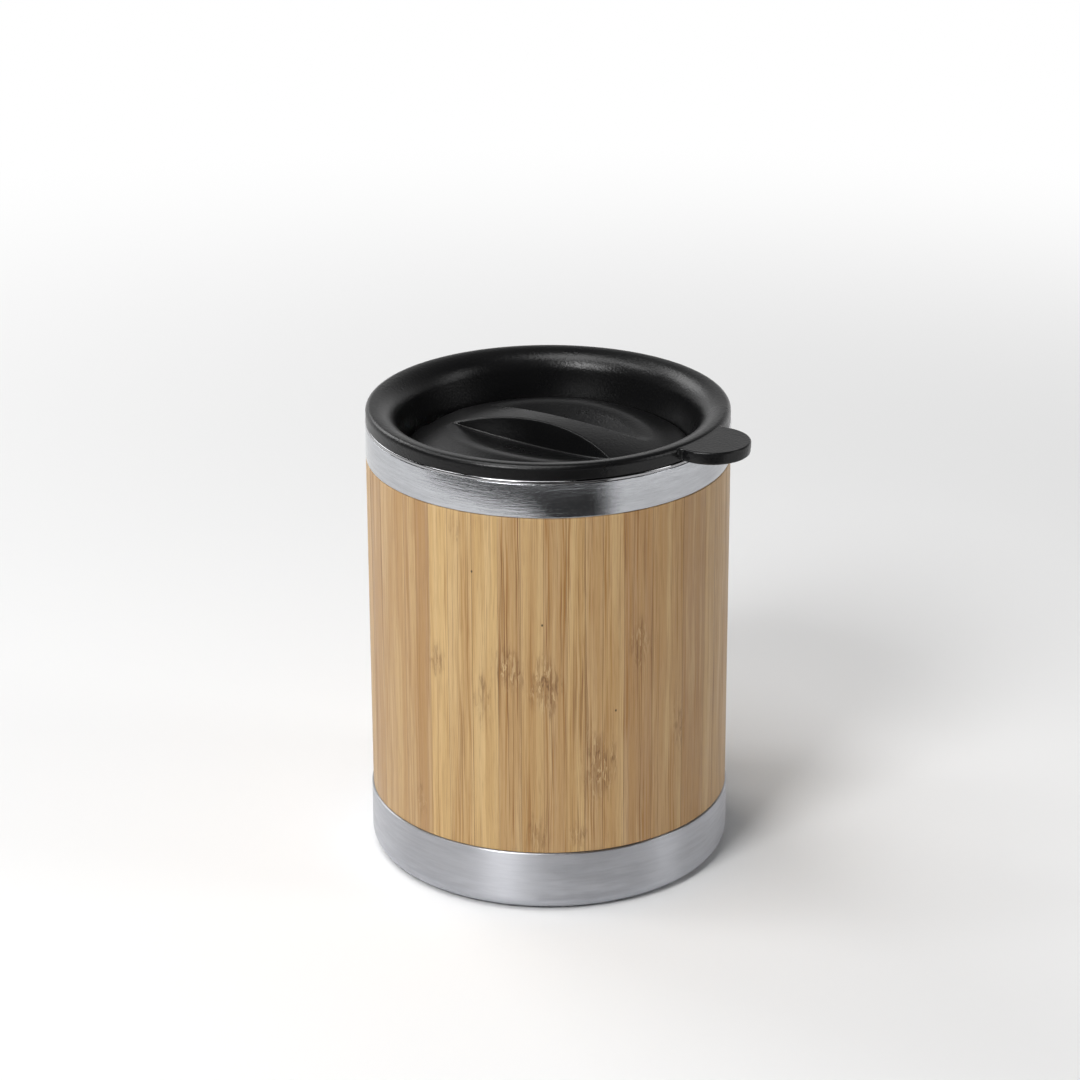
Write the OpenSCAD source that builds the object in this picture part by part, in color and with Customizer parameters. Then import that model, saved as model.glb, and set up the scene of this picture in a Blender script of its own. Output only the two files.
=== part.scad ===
// Double-walled tumbler with a bamboo sleeve and a push-in lid that has a twist dial.
// The axis of the cup is Z, its base stands on z = 0, and the thumb tab of the lid points along +X.

/* [Cup] */
// Outside diameter over the bamboo sleeve
sleeve_d = 80; // [74:0.5:90]
// Height of the steel mouth above the base
cup_h = 100.6; // [85:0.2:130]
// Height of the steel band at the base
base_band_h = 14; // [9:0.5:22]
// Height of the steel band at the mouth
top_band_h = 8.4; // [6:0.2:14]
// How far the base band stands out from the bamboo
base_band_proud = 0.3; // [0.1:0.05:0.6]
// How far the top band stands out from the bamboo
top_band_proud = 0; // [0:0.05:0.4]
// Radius of the rounded lower corner
base_corner_r = 3.2; // [1.5:0.1:5]

/* [Walls of the cup] */
// Thickness of the bamboo
sleeve_wall = 2; // [1.6:0.1:2.4]
// Sheet thickness of the steel cups
steel_wall = 0.5; // [0.4:0.05:0.7]
// Sheet thickness of the base cap
cap_wall = 0.6; // [0.4:0.05:0.9]
// Air gap between the necks of the two steel cups
neck_gap = 0.6; // [0.4:0.1:1]
// Air gap between the two steel cups along their sides
side_gap = 2.4; // [1.5:0.1:4]
// Air gap between the two floors
floor_gap = 3; // [1.5:0.5:6]
// Radius of the inside corner at the bottom of the liner
liner_corner_r = 9; // [4:0.5:14]
// Height of the liner's slope below the seat of the lid
shoulder_h = 4; // [2:0.5:8]
// Radius of the flare at the drinking edge of the liner
flare_r = 2.2; // [1.2:0.1:2.6]
// Height of the liner's edge that shows below the lid
lip_edge_h = 0.75; // [0.5:0.05:1.2]
// Diameter of the disc in the underside
base_disc_d = 60; // [40:1:66]
// Thickness of the disc in the underside
base_disc_t = 0.8; // [0.5:0.1:1.2]

/* [Lid] */
// Height of the lid's crest above the steel mouth
rim_h = 3.3; // [3:0.1:5]
// How far the lid's flange stands in from the top band
flange_inset = 0.1; // [0:0.05:0.4]
// Radius of the outer edge of the lip
lip_outer_r = 1.2; // [0.9:0.1:1.8]
// Radius of the inner edge of the lip
lip_inner_r = 5.6; // [4.8:0.1:6]
// Width of the level crest between the two edges
crest_w = 0.2; // [0.1:0.1:0.8]
// Lean of the well's wall in degrees
well_draft = 13; // [8:1:16]
// Depth of the well's floor below the steel mouth
well_depth = 9.4; // [8.8:0.1:11]
// Height of the straight pocket round the dial
pocket_h = 3; // [2.6:0.1:4]
// Thickness of the well's floor
floor_t = 1.8; // [1.2:0.1:2.4]
// Depth of the plug below the steel mouth
plug_depth = 15; // [14.4:0.1:18]
// Thickness of the plug's skirt below the floor
skirt_t = 1.8; // [1.2:0.1:2.4]
// Gap between the plug and the liner
plug_gap = 0.8; // [0.5:0.1:1]
// Width of the groove that lightens the lip from below
core_w = 1.4; // [0.8:0.1:1.6]
// Depth of the groove that lightens the lip from below
core_h = 1.2; // [0.8:0.1:1.4]

/* [Thumb tab] */
// Radius of the round end of the tab
tab_r = 8.5; // [6:0.1:12]
// Reach of the tab beyond the flange
tab_reach = 10.3; // [6:0.1:13]
// Height of the tab's underside above the steel mouth
tab_lift = 0.25; // [0.2:0.05:1.2]
// Thickness of the tab
tab_t = 2.8; // [1.6:0.1:3]
// Radius of the tab's upper edge
tab_edge_r = 0.4; // [0.2:0.05:0.8]
// Radius of the tab's lower edge
tab_foot_r = 0.6; // [0.2:0.05:0.8]
// Radius where the tab runs into the flange
tab_root_r = 0.9; // [0.5:0.1:3]

/* [Gasket] */
// Height of the gasket ring
gasket_h = 4; // [3:0.1:4.6]
// Depth of its groove in the plug
gasket_groove = 1.6; // [1:0.1:1.8]
// Radius of each of its two beads
gasket_bead_r = 0.8; // [0.5:0.1:1]
// Height of the groove's lower edge above the plug's foot
gasket_foot = 6; // [4.5:0.1:6.6]

/* [Dial] */
// Height of the steel mouth above the crown of the dial
crown_drop = 0.4; // [0:0.1:1]
// Radius of the dome
dome_r = 78; // [68:1:95]
// Gap between the dial and its pocket
dial_gap = 0.3; // [0.15:0.05:0.5]
// Depth of the dish below the crown
dish_depth = 6.2; // [5:0.05:6.7]
// Radius of the hollow dish
dish_r = 70; // [60:1:90]
// Width of the dish across the rib as a share of its length
dish_share = 0.76; // [0.7:0.02:1]
// Width of the rib at its waist
rib_waist = 5.2; // [3.4:0.1:7]
// Radius of each hollow side of the rib
rib_side_r = 50; // [38:1:80]
// Inner radius of the hollow under the edge of the dome
hollow_r = 24.7; // [23.5:0.1:26]
// Skin of the dome over its hollow underside
dome_skin = 1.6; // [1.2:0.1:2]
// Width of the drink notch in the edge of the dial
notch_w = 12; // [8:0.5:16]
// Depth of the drink notch
notch_depth = 2.1; // [1.4:0.1:2.6]

/* [Under the dial] */
// Thickness of the dial's seal
seal_t = 1.2; // [0.8:0.1:1.5]
// Width of the dial's seal
seal_w = 7; // [5.5:0.1:8.5]
// Width of the drink slot across the floor
slot_w = 3.4; // [2.4:0.1:4]
// Length of the drink slot along the floor
slot_l = 12; // [8:0.5:16]
// Distance of the drink slot from the wall of the pocket
slot_edge = 0.6; // [0.3:0.1:1]
// Diameter of the hub that the dial turns on
hub_d = 16; // [12:0.5:20]
// Play between the hub and its hole
hub_play = 0.08; // [0.03:0.01:0.1]
// Thickness of the clip under the floor
clip_t = 1.2; // [0.8:0.1:1.6]
// Width of the clip's ring
clip_w = 3.6; // [2.6:0.1:4.5]
// Depth of the clip's groove in the hub
clip_groove = 1.3; // [0.8:0.1:1.6]
// Angle of the clip's open side, as seen from the axis
clip_mouth_angle = 120; // [80:5:160]
// Height of the hub's head below the clip
hub_head_h = 1; // [0.6:0.1:1.4]
// Diameter of the hollow in the hub
hub_bore_d = 9; // [5:0.5:9]

/* [Fits] */
// Play between pieces that are pressed or bonded together
bond_gap = 0.05; // [0.03:0.01:0.1]
// Gap of the glued joint below the bamboo
glue_gap = 0.15; // [0.05:0.05:0.3]
// Gap between the gasket and the liner
gasket_gap = 0.1; // [0.05:0.05:0.3]
// Height of the dial's underside above the floor of the well
turn_gap = 0.1; // [0.05:0.05:0.2]
// Radius on the steel edges that meet the bamboo
edge_r = 0.3; // [0.15:0.05:0.4]

/* [Hidden] */

$fn = 128;
overrun = 1;

// Radii of the cup, from the bamboo inwards
sleeve_r = sleeve_d / 2;
band_r = sleeve_r + top_band_proud;
cap_r = sleeve_r + base_band_proud;
waist_r = sleeve_r - sleeve_wall - bond_gap;
neck_r = waist_r - steel_wall;
seat_r = neck_r - neck_gap - steel_wall;
liner_r = neck_r - side_gap - steel_wall;

// Heights of the cup, from the base up
disc_r = base_disc_d / 2;
cap_floor_top = base_disc_t + cap_wall;
shell_bottom = cap_floor_top + bond_gap;
liner_bottom = shell_bottom + steel_wall + floor_gap;
top_joint_z = cup_h - top_band_h;
shell_top = cup_h - lip_edge_h - bond_gap;
seat_bottom = cup_h - plug_depth - neck_gap;
shoulder_bottom = seat_bottom - shoulder_h;

// Lid: its heights are in the frame of the whole part
lid_bottom = cup_h + bond_gap;
crest_z = cup_h + rim_h;
flange_r = band_r - flange_inset;
plug_r = seat_r - plug_gap;
plug_bottom = cup_h - plug_depth;
floor_top = cup_h - well_depth;
floor_bottom = floor_top - floor_t;
lip_inner_x = flange_r - lip_outer_r - crest_w;
lip_inner_z = crest_z - lip_inner_r;
wall_top_r = lip_inner_x - lip_inner_r * cos(well_draft);
wall_top_z = lip_inner_z + lip_inner_r * sin(well_draft);
pocket_top = floor_top + pocket_h;
pocket_r = wall_top_r - (wall_top_z - pocket_top) * tan(well_draft);
skirt_r = plug_r - skirt_t;

// Gasket and its groove
groove_r = plug_r - gasket_groove;
groove_bottom = plug_bottom + gasket_foot;
gasket_r = seat_r - gasket_gap;

// Tab: the round end is centred tab_x from the axis
tab_x = flange_r + tab_reach - tab_r;
tab_bottom = cup_h + tab_lift;

// Dial
dial_r = pocket_r - dial_gap;
crown_z = cup_h - crown_drop;
dome_z = crown_z - dome_r;
dial_bottom = floor_top + turn_gap;
seal_top = dial_bottom + seal_t;
seal_r = dial_r - dial_gap;
notch_r = dial_r - notch_depth;
dish_floor_z = crown_z - dish_depth;
rib_side_y = rib_waist / 2 + rib_side_r;
core_outer_r = dial_r - notch_depth - dome_skin;
core_inner_r = seal_r - seal_w;

// Hub and clip
hub_r = hub_d / 2;
clip_top = floor_bottom - turn_gap;
clip_bottom = clip_top - clip_t;
hub_bottom = clip_bottom - bond_gap - hub_head_h;
clip_r = hub_r - clip_groove + clip_w;

// Colours
steel_colour = [0.76, 0.77, 0.78];
liner_colour = [0.7, 0.71, 0.72];
bamboo_colour = [0.8, 0.63, 0.42];
plastic_colour = [0.12, 0.12, 0.12];
silicone_colour = [0.85, 0.85, 0.83];

// Half-section of a ring from radius r1 to r2 and height z1 to z2
module ring_section(r1, r2, z1, z2) {
    translate([r1, z1]) square([r2 - r1, z2 - z1]);
}

// Half-section of a solid round cup with a rounded lower corner
module cup_section(r, z1, z2, corner) {
    ring_section(0, r, z1 + corner, z2);
    ring_section(0, r - corner, z1, z1 + corner);
    translate([r - corner, z1 + corner]) circle(corner);
}

// Half-section of the liner, filled up to its inner or outer surface
module liner_section(wall, top) {
    bend_x = seat_r + flare_r;
    bend_z = cup_h - flare_r;
    cup_section(liner_r + wall, liner_bottom + steel_wall - wall, shoulder_bottom, liner_corner_r + wall);
    polygon([
        [0, shoulder_bottom], [liner_r + wall, shoulder_bottom],
        [seat_r + wall, seat_bottom], [0, seat_bottom]
    ]);
    ring_section(0, seat_r + wall, seat_bottom, top);
    difference() {
        ring_section(seat_r + wall, bend_x, bend_z, top);
        translate([bend_x, bend_z]) circle(flare_r - wall);
    }
}

// Drawn inner cup, with a flare that ends in the steel drinking edge
module inner_liner() {
    color(liner_colour)
    rotate_extrude()
    difference() {
        union() {
            liner_section(steel_wall, cup_h);
            difference() {
                ring_section(seat_r + flare_r, band_r, cup_h - lip_edge_h, cup_h);
                ring_section(band_r - edge_r, band_r, cup_h - edge_r, cup_h);
            }
            translate([band_r - edge_r, cup_h - edge_r]) circle(edge_r);
        }
        liner_section(0, cup_h + overrun);
    }
}

// Outer cup: a polished band over a necked waist that carries the bamboo
module outer_shell() {
    shell_corner_r = base_corner_r + edge_r;
    color(steel_colour)
    rotate_extrude() {
        difference() {
            cup_section(waist_r, shell_bottom, top_joint_z + steel_wall, shell_corner_r);
            cup_section(neck_r, shell_bottom + steel_wall, cup_h, shell_corner_r - steel_wall);
        }
        ring_section(neck_r, band_r - edge_r, top_joint_z, top_joint_z + steel_wall);
        ring_section(band_r - steel_wall, band_r, top_joint_z + edge_r, shell_top);
        translate([band_r - edge_r, top_joint_z + edge_r]) circle(edge_r);
    }
}

// Tube of laminated bamboo strips
module bamboo_sleeve() {
    color(bamboo_colour)
    rotate_extrude()
    ring_section(waist_r + bond_gap, sleeve_r, base_band_h + glue_gap, top_joint_z - bond_gap);
}

// Steel cap that holds the lower end of the sleeve, with a recess in its underside
module base_cap() {
    inner_r = cap_r - cap_wall;
    recess_r = disc_r + bond_gap;
    color(steel_colour)
    rotate_extrude()
    difference() {
        union() {
            cup_section(cap_r, 0, base_band_h - edge_r, base_corner_r);
            ring_section(0, cap_r - edge_r, base_band_h - edge_r, base_band_h);
            translate([cap_r - edge_r, base_band_h - edge_r]) circle(edge_r);
        }
        cup_section(inner_r, cap_floor_top, base_band_h - cap_wall, base_corner_r - cap_wall);
        ring_section(recess_r + cap_wall, inner_r - base_corner_r, cap_wall, cap_floor_top + overrun);
        ring_section(0, waist_r + bond_gap, cap_floor_top, base_band_h + overrun);
        ring_section(0, recess_r, -overrun, base_disc_t);
    }
}

// Welded disc that closes the underside, flush with the foot
module base_disc() {
    color(steel_colour)
    rotate_extrude()
    ring_section(0, disc_r, 0, base_disc_t - bond_gap);
}

// Half-section of the lid: lip, leaning wall, floor, plug and gasket groove
module lid_section() {
    difference() {
        union() {
            polygon([
                [pocket_r, floor_bottom],
                [plug_r, floor_bottom],
                [plug_r, lid_bottom],
                [flange_r, lid_bottom],
                [flange_r, crest_z - lip_outer_r],
                [flange_r - lip_outer_r, crest_z],
                [lip_inner_x, crest_z],
                [wall_top_r, wall_top_z],
                [pocket_r, pocket_top]
            ]);
            intersection() {
                translate([flange_r - lip_outer_r, crest_z - lip_outer_r]) circle(lip_outer_r);
                ring_section(lip_inner_x, flange_r + overrun, crest_z - lip_outer_r, crest_z + overrun);
            }
            intersection() {
                translate([lip_inner_x, lip_inner_z]) circle(lip_inner_r);
                union() {
                    ring_section(pocket_r, plug_r, wall_top_z, crest_z + overrun);
                    ring_section(pocket_r, lip_inner_x, lid_bottom, crest_z + overrun);
                }
            }
            ring_section(0, pocket_r, floor_bottom, floor_top);
            ring_section(skirt_r, plug_r, plug_bottom, floor_bottom);
        }
        ring_section(groove_r, plug_r + overrun, groove_bottom, groove_bottom + gasket_h);
        ring_section(plug_r, plug_r + core_w, lid_bottom - overrun, lid_bottom + core_h);
        ring_section(0, hub_r + hub_play, floor_bottom - overrun, floor_top + overrun);
    }
}

// Outline of the fillet between the flange and the round end of the tab, on one side
module tab_root() {
    reach = flange_r + tab_root_r;
    spread = tab_r + tab_root_r;
    root_x = (reach * reach - spread * spread + tab_x * tab_x) / (2 * tab_x);
    root_y = sqrt(reach * reach - root_x * root_x);
    difference() {
        polygon([[wall_top_r, 0], [root_x, root_y], [tab_x, 0]]);
        translate([root_x, root_y]) circle(tab_root_r);
    }
}

// Thumb tab with rounded edges, which stands clear of the steel mouth
module thumb_tab() {
    top = tab_bottom + tab_t;
    difference() {
        union() {
            translate([tab_x, 0, 0])
            rotate_extrude() {
                ring_section(0, tab_r, tab_bottom + tab_foot_r, top - tab_edge_r);
                ring_section(0, tab_r - tab_foot_r, tab_bottom, tab_bottom + tab_foot_r);
                ring_section(0, tab_r - tab_edge_r, top - tab_edge_r, top);
                translate([tab_r - tab_foot_r, tab_bottom + tab_foot_r]) circle(tab_foot_r);
                translate([tab_r - tab_edge_r, top - tab_edge_r]) circle(tab_edge_r);
            }
            translate([0, 0, tab_bottom + tab_foot_r])
            linear_extrude(tab_t - tab_foot_r - tab_edge_r) {
                tab_root();
                mirror([0, 1]) tab_root();
            }
        }
        translate([0, 0, plug_bottom]) cylinder(r = flange_r - lip_outer_r, h = crest_z - plug_bottom);
    }
}

// Slot with round ends through the floor, opposite the tab
module drink_slot() {
    end_y = (slot_l - slot_w) / 2;
    end_r = pocket_r - slot_edge - slot_w / 2;
    slot_x = -sqrt(end_r * end_r - end_y * end_y);
    translate([slot_x, 0, floor_bottom - overrun])
    linear_extrude(floor_t + 2 * overrun) {
        translate([-slot_w / 2, -end_y]) square([slot_w, 2 * end_y]);
        for (side = [-1, 1])
            translate([0, side * end_y]) circle(slot_w / 2);
    }
}

// Moulded lid: lip, well, floor with the drink slot, plug and tab
module lid_rim() {
    color(plastic_colour)
    difference() {
        union() {
            rotate_extrude() lid_section();
            thumb_tab();
        }
        drink_slot();
        translate([0, 0, plug_bottom - overrun]) cylinder(r = band_r, h = overrun);
    }
}

// Silicone ring with two beads that press on the liner
module lid_gasket() {
    z1 = groove_bottom + bond_gap;
    z2 = groove_bottom + gasket_h - bond_gap;
    color(silicone_colour)
    rotate_extrude() {
        ring_section(groove_r + bond_gap, gasket_r - gasket_bead_r, z1, z2);
        for (z = [z1 + gasket_bead_r, z2 - gasket_bead_r])
            translate([gasket_r - gasket_bead_r, z]) circle(gasket_bead_r);
    }
}

// Hollow dish that is sunk into the dome, longer along the rib than across it
module dish() {
    scale([1, dish_share, 1])
    rotate_extrude()
    intersection() {
        translate([0, dish_floor_z + dish_r]) circle(dish_r);
        ring_section(0, dial_r, dish_floor_z - overrun, crown_z + overrun);
    }
}

// One of the two finger scoops: the part of the dish beyond a side of the rib
module scoop() {
    intersection() {
        dish();
        translate([0, rib_side_y, dish_floor_z - overrun]) cylinder(r = rib_side_r, h = crown_z);
    }
}

// Notch through the edge of the dial, opposite the tab
module drink_notch(bottom) {
    translate([0, 0, bottom])
    linear_extrude(crown_z - bottom)
    difference() {
        translate([-dial_r - overrun, -notch_w / 2]) square([dial_r, notch_w]);
        circle(notch_r);
    }
}

// Domed grip with two scoops and a waisted rib, on a hub that turns in the lid's floor
module twist_dial() {
    color(plastic_colour)
    difference() {
        union() {
            rotate_extrude()
            difference() {
                intersection() {
                    translate([0, dome_z]) circle(dome_r);
                    ring_section(0, dial_r, dial_bottom, crown_z + overrun);
                }
                ring_section(core_inner_r, dial_r + overrun, dial_bottom - overrun, seal_top);
                intersection() {
                    translate([0, dome_z]) circle(dome_r - dome_skin);
                    ring_section(hollow_r, core_outer_r, seal_top - overrun, crown_z);
                }
            }
            translate([0, 0, hub_bottom]) cylinder(r = hub_r, h = dial_bottom - hub_bottom + seal_t);
        }
        scoop();
        mirror([0, 1, 0]) scoop();
        drink_notch(dial_bottom - overrun);
        translate([0, 0, clip_bottom - bond_gap])
        difference() {
            cylinder(r = hub_r + overrun, h = clip_t + 2 * bond_gap);
            cylinder(r = hub_r - clip_groove, h = clip_t + 2 * bond_gap);
        }
        translate([0, 0, hub_bottom - overrun]) cylinder(d = hub_bore_d, h = dial_bottom - hub_bottom + overrun);
    }
}

// Silicone ring bonded under the edge of the dial, notched where the dial is
module dial_seal() {
    color(silicone_colour)
    difference() {
        rotate_extrude()
        ring_section(core_inner_r + bond_gap, seal_r, dial_bottom, seal_top - bond_gap);
        drink_notch(dial_bottom - overrun);
    }
}

// Open clip that sits in the hub's groove below the floor
module dial_clip() {
    inner_r = hub_r - clip_groove + bond_gap;
    mouth_w = 2 * inner_r * sin(clip_mouth_angle / 2);
    color(plastic_colour)
    translate([0, 0, clip_bottom])
    linear_extrude(clip_t)
    difference() {
        circle(clip_r);
        circle(inner_r);
        translate([0, -mouth_w / 2]) square([clip_r + overrun, mouth_w]);
    }
}

inner_liner();
outer_shell();
bamboo_sleeve();
base_cap();
base_disc();
lid_rim();
lid_gasket();
twist_dial();
dial_seal();
dial_clip();
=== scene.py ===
"""An insulated tumbler with a bamboo sleeve and a black push-in lid, in a plain light studio."""

import random
from math import asin, atan2, cos, degrees, hypot, pi, radians, sin, sqrt, tan

import bmesh
import bpy
from mathutils import Matrix, Vector


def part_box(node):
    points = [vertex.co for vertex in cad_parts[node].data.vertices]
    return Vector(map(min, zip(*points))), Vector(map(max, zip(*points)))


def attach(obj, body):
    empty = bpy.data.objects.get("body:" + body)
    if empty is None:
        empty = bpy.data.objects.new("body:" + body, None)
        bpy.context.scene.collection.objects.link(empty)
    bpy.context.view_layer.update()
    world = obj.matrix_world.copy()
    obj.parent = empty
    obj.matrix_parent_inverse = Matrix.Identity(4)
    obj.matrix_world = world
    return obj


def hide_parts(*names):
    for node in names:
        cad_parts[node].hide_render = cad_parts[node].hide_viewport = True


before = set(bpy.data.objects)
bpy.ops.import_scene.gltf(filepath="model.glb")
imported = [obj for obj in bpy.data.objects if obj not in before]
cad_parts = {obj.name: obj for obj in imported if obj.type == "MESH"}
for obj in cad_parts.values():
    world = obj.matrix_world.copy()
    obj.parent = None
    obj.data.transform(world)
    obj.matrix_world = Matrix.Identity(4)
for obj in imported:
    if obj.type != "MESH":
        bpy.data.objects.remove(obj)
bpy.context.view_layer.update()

MM = 0.001
SPIN_STEPS = 288
WELD = 0.0005 * MM
# Gap between faces that are welded, spun or glued together on the real cup
JOINT_GAP = 0.05 * MM

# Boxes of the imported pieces, which give the main sizes below
sleeve_lo, sleeve_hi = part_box("bamboo_sleeve")
cap_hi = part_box("base_cap")[1]
shell_lo, shell_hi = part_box("outer_shell")
liner_lo, liner_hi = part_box("inner_liner")
lid_lo, lid_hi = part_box("lid_rim")
gasket_lo, gasket_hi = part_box("lid_gasket")
dial_lo, dial_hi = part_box("twist_dial")
seal_lo, seal_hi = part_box("dial_seal")

# Cup
SLEEVE_R = sleeve_hi.x
SLEEVE_WALL = 2 * MM
SLEEVE_EDGE = 0.12 * MM
CAP_R = cap_hi.x
CAP_H = cap_hi.z
CAP_WALL = 0.6 * MM
FOOT_R = 3.2 * MM
RECESS_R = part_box("base_disc")[1].x + JOINT_GAP
RECESS_H = 0.8 * MM
BAND_R = shell_hi.x
BAND_Z = sleeve_hi.z + JOINT_GAP
STEEL_WALL = 0.5 * MM
WAIST_R = SLEEVE_R - SLEEVE_WALL - JOINT_GAP
NECK_R = WAIST_R - STEEL_WALL
SEAT_R = NECK_R - 1.1 * MM
LINER_R = NECK_R - 2.9 * MM
LINER_CORNER_R = 9 * MM
EDGE_R = 0.3 * MM
GROOVE_R = 0.14 * MM
MOUTH_Z = liner_hi.z
LIP_EDGE_H = 0.75 * MM
LIP_EDGE_R = 0.35 * MM
FLARE_R = 2.2 * MM
SHOULDER_Z = 81 * MM
SEAT_Z = 85 * MM

# Lid
LID_Z = MOUTH_Z + JOINT_GAP
FLANGE_R = -lid_lo.x
CREST_Z = lid_hi.z
LIP_OUTER_R = 1.2 * MM
LIP_INNER_R = 5.6 * MM
CREST_W = 0.2 * MM
WELL_DRAFT = radians(13)
FLOOR_Z = MOUTH_Z - 9.4 * MM
FLOOR_T = 1.8 * MM
POCKET_TOP = FLOOR_Z + 3 * MM
PLUG_Z = lid_lo.z
PLUG_R = SEAT_R - 0.8 * MM
SKIRT_T = 1.8 * MM
CORE_W = 1.4 * MM
CORE_H = 1.2 * MM
HUB_HOLE_R = 8.08 * MM
GROOVE_BED_R = PLUG_R - 1.6 * MM
GASKET_INNER_R = PLUG_R - 1.55 * MM
BEAD_R = 0.8 * MM
FLANGE_EDGE_R = 0.25 * MM
INSIDE_EDGE_R = 0.6 * MM

# Thumb tab
TAB_R = 8.5 * MM
TAB_X = lid_hi.x - TAB_R
TAB_Z = MOUTH_Z + 0.25 * MM
TAB_T = 2.8 * MM
TAB_EDGE_R = 0.4 * MM
TAB_FOOT_R = 0.5 * MM
TAB_ROOT_R = 0.9 * MM
PARTING_STEP = 0.1 * MM

# Drink slot
SLOT_W = 3.4 * MM
SLOT_L = 12 * MM
SLOT_EDGE = 0.6 * MM

# Dial
DIAL_R = dial_hi.x
CROWN_Z = dial_hi.z
DOME_R = 78 * MM
DISH_FLOOR_Z = CROWN_Z - 6.2 * MM
DISH_R = 90 * MM
DISH_SHARE = 0.67
RIB_HALF_W = 2.6 * MM
RIB_SIDE_R = 50 * MM
DIAL_EDGE_R = 0.45 * MM
DIAL_EDGE_DROP = 0.12 * MM
# Roundings of the rib's top edge, of the scoop's edge on the dome, and of the crease at the rib's foot,
# and the distance over which the first becomes the second
RIDGE_R = 0.45 * MM
BORDER_R = 1.3 * MM
CREASE_R = 0.3 * MM
ROUNDING_CHANGE = 3 * MM
NOTCH_R = DIAL_R - 2.1 * MM
NOTCH_HALF_W = 6 * MM
DIAL_Z = seal_lo.z
SEAL_TOP = seal_hi.z + JOINT_GAP
SEAL_INNER_R = 24.2 * MM
HUB_R = 8 * MM
HUB_BORE_R = 4.5 * MM
CLIP_GROOVE_R = HUB_R - 1.3 * MM
CLIP_GROOVE_H = 1.3 * MM
# Rows of faces down the dome from the scoop's edge, how much they crowd at that edge, and the first rows
# of the foot, which the notch moves too
DOME_ROWS = 18
DOME_CROWDING = 1.7
EDGE_ROWS = 8

# The camera, and the directions that the studio is laid out by
VIEW_AZIMUTH = radians(34)
CAMERA_DISTANCE = 704.81 * MM
CAMERA_H = 354.86 * MM
CAMERA_PITCH = radians(21.909)
CAMERA_ROLL = radians(-0.183)
LENS_MM = 114.13
SENSOR_MM = 36
AXIS_PIXEL_X = 548.48
FRAME_PIXELS = 1080

# Bamboo
SEAM_W = 0.14
PALE, GOLD, TAN = (0.72, 0.53, 0.28), (0.66, 0.45, 0.205), (0.44, 0.265, 0.13)
HONEY, AMBER, RUSSET = (0.47, 0.275, 0.1), (0.38, 0.19, 0.055), (0.22, 0.1, 0.032)
UMBER, SOOT = (0.16, 0.075, 0.03), (0.04, 0.025, 0.015)


def wrapped(turn):
    """The same turn between -pi and pi."""
    return atan2(sin(turn), cos(turn))


def arc(x, z, r, start, end, steps=8):
    """Points of an arc about (x, z), with its angles in degrees from +X towards +Z."""
    turns = [radians(start + (end - start) * i / steps) for i in range(steps + 1)]
    return [(x + r * cos(t), z + r * sin(t)) for t in turns]


def finish_mesh(shape, name, sharp_angle=40):
    """Makes an object of a bmesh, smooth but for its sharp edges, and frees the bmesh."""
    bmesh.ops.remove_doubles(shape, verts=shape.verts, dist=WELD)
    bmesh.ops.dissolve_degenerate(shape, edges=shape.edges, dist=WELD)
    bmesh.ops.recalc_face_normals(shape, faces=shape.faces)
    for face in shape.faces:
        face.smooth = True
    for edge in shape.edges:
        edge.smooth = edge.calc_face_angle(0) < radians(sharp_angle)
    mesh = bpy.data.meshes.new(name)
    shape.to_mesh(mesh)
    shape.free()
    piece = bpy.data.objects.new(name, mesh)
    bpy.context.scene.collection.objects.link(piece)
    return piece


def turned(outline, closed=True):
    """A bmesh of revolution about Z. An open outline starts and ends on the axis."""
    shape = bmesh.new()
    points = [shape.verts.new((r, 0, z)) for r, z in outline]
    ends = points[1:] + points[:1] if closed else points[1:]
    lines = [shape.edges.new(pair) for pair in zip(points, ends)]
    bmesh.ops.spin(shape, geom=points + lines, cent=(0, 0, 0), axis=(0, 0, 1),
                   angle=2 * pi, steps=SPIN_STEPS, use_merge=True)
    return shape


def even_normals(piece):
    """Keeps wide faces flat-looking beside their narrow rounded edges."""
    smoothing = piece.modifiers.new("even_normals", "WEIGHTED_NORMAL")
    smoothing.keep_sharp = True
    return piece


def combined(piece, tool, operation):
    """Applies a boolean of two pieces and removes the second."""
    cut = piece.modifiers.new("cut", "BOOLEAN")
    cut.operation = operation
    cut.object = tool
    cut.solver = "EXACT"
    bpy.context.view_layer.update()
    result = piece.evaluated_get(bpy.context.evaluated_depsgraph_get())
    mesh = bpy.data.meshes.new_from_object(result)
    piece.modifiers.clear()
    piece.data = mesh
    bpy.data.objects.remove(tool)
    return piece


def foot_cap():
    """Base cap: a drawn steel cup with an inward lip at its top and a recess for the disc."""
    inner_r = CAP_R - CAP_WALL
    inner_corner = FOOT_R - CAP_WALL
    floor_z = RECESS_H + CAP_WALL
    outline = [(0, RECESS_H), (RECESS_R, RECESS_H), (RECESS_R, 0)]
    outline += arc(CAP_R - FOOT_R, FOOT_R, FOOT_R, -90, 0, 14)
    outline += arc(CAP_R - EDGE_R, CAP_H - EDGE_R, EDGE_R, 0, 90, 6)
    lip_r = WAIST_R + JOINT_GAP
    outline += [(lip_r, CAP_H), (lip_r, CAP_H - CAP_WALL)]
    outline += [(inner_r, CAP_H - CAP_WALL)]
    outline += arc(inner_r - inner_corner, floor_z + inner_corner, inner_corner, 0, -90)
    outline += [(0, floor_z)]
    return finish_mesh(turned(outline, closed=False), "foot_cap")


def bamboo_tube():
    """Sleeve of laminated strips, with its two ends just broken."""
    lo, hi = sleeve_lo.z, sleeve_hi.z
    inner_r, edge_r = SLEEVE_R - SLEEVE_WALL, SLEEVE_R - SLEEVE_EDGE
    outline = [(inner_r, lo), (edge_r, lo), (SLEEVE_R, lo + SLEEVE_EDGE)]
    outline += [(SLEEVE_R, hi - SLEEVE_EDGE), (edge_r, hi), (inner_r, hi)]
    return finish_mesh(turned(outline), "bamboo_tube")


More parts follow.
